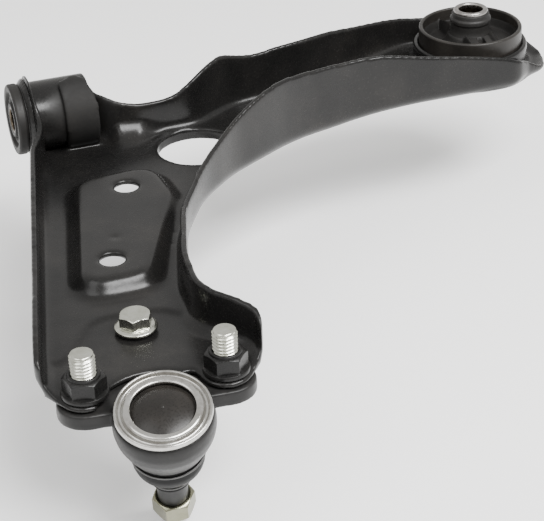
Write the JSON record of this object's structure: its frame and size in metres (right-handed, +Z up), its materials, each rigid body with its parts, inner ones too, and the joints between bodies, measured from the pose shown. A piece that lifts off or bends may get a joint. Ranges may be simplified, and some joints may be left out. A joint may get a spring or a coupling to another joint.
{
  "type": "automotive lower control arm",
  "caption": "Pressed-steel lower control arm with a horizontal front bush, an upright rear bush and a bolted-on ball joint.",
  "frame": {"origin": "centre of the front bush bore, on the swing axis", "axes": "+X along the swing axis to the rear bush, +Z up out of the open side of the pressing, ball joint towards -Y"},
  "size_m": [0.3789, 0.3597, 0.1181],
  "materials": {
    "ecoat": "semi-gloss black electrocoat over pressed steel",
    "bush_steel": "dark coated steel",
    "rubber": "matte bonded rubber",
    "sleeve_steel": "machined steel, lightly oiled",
    "ring_steel": "dark phosphated steel",
    "forged_steel": "satin dark coated forging",
    "zinc_bright": "bright zinc plated",
    "cap_black": "smooth black domed cover",
    "seat_polymer": "acetal socket",
    "stud_steel": "dark phosphated steel",
    "boot_rubber": "satin chloroprene rubber",
    "clip_steel": "spring wire",
    "zinc_yellow": "pale yellow zinc plate",
    "nut_black": "black phosphate"
  },
  "bodies": {
    "chassis_sleeve": {"front_bush_sleeve": "sleeve_steel"},
    "arm": {"arm_pressing": "ecoat", "front_eye_tube": "ecoat", "front_eye_weld": "ecoat", "front_bush_shell": "bush_steel", "front_bush_rubber": "rubber", "rear_bush_ring": "ring_steel", "rear_bush_rubber": "rubber", "ball_joint_housing": "forged_steel", "crimp_ring": "zinc_bright", "end_cap": "cap_black", "ball_seat": "seat_polymer", "boot_clip_upper": "clip_steel", "clamp_bolt_left": "zinc_yellow", "clamp_bolt_right": "zinc_yellow", "clamp_nut_left": "nut_black", "clamp_nut_right": "nut_black", "centre_bolt": "zinc_yellow", "centre_washer": "nut_black", "centre_nut": "nut_black"},
    "rear_sleeve": {"rear_bush_sleeve": "sleeve_steel"},
    "boot": {"dust_boot": "boot_rubber"},
    "boot_ring": {"boot_clip_lower": "clip_steel"},
    "stud": {"ball_stud": "stud_steel", "stud_nut": "zinc_yellow"}
  },
  "joints": [
    {"name": "arm_swing", "type": "hinge", "parent": "chassis_sleeve", "child": "arm", "pos_m": [0, 0, 0], "axis": [1, 0, 0], "range_deg": [-15, 15], "stiffness_Nm_per_rad": 110, "deforming": ["front_bush_rubber"]},
    {"name": "rear_sleeve_tilt", "type": "hinge", "parent": "arm", "child": "rear_sleeve", "pos_m": [0.265, 0, 0], "axis": [1, 0, 0], "range_deg": [-15, 15], "stiffness_Nm_per_rad": 20, "deforming": ["rear_bush_rubber"]},
    {"name": "stud_tilt_x", "type": "hinge", "parent": "arm", "child": "boot", "pos_m": [-0.01581, -0.28662, -0.03274], "axis": [0.9952, 0, 0.0977], "range_deg": [-16, 16], "deforming": ["dust_boot"]},
    {"name": "stud_tilt_y", "type": "hinge", "parent": "boot", "child": "boot_ring", "pos_m": [-0.01581, -0.28662, -0.03274], "axis": [-0.0265, 0.9626, 0.2697], "range_deg": [-16, 16], "deforming": ["dust_boot"]},
    {"name": "stud_spin", "type": "hinge", "parent": "boot_ring", "child": "stud", "pos_m": [-0.01581, -0.28662, -0.03274], "axis": [-0.094, -0.271, 0.958], "continuous": true}
  ],
  "couplings": [
    {"joint": "rear_sleeve_tilt", "follows": "arm_swing", "ratio": -1}
  ]
}
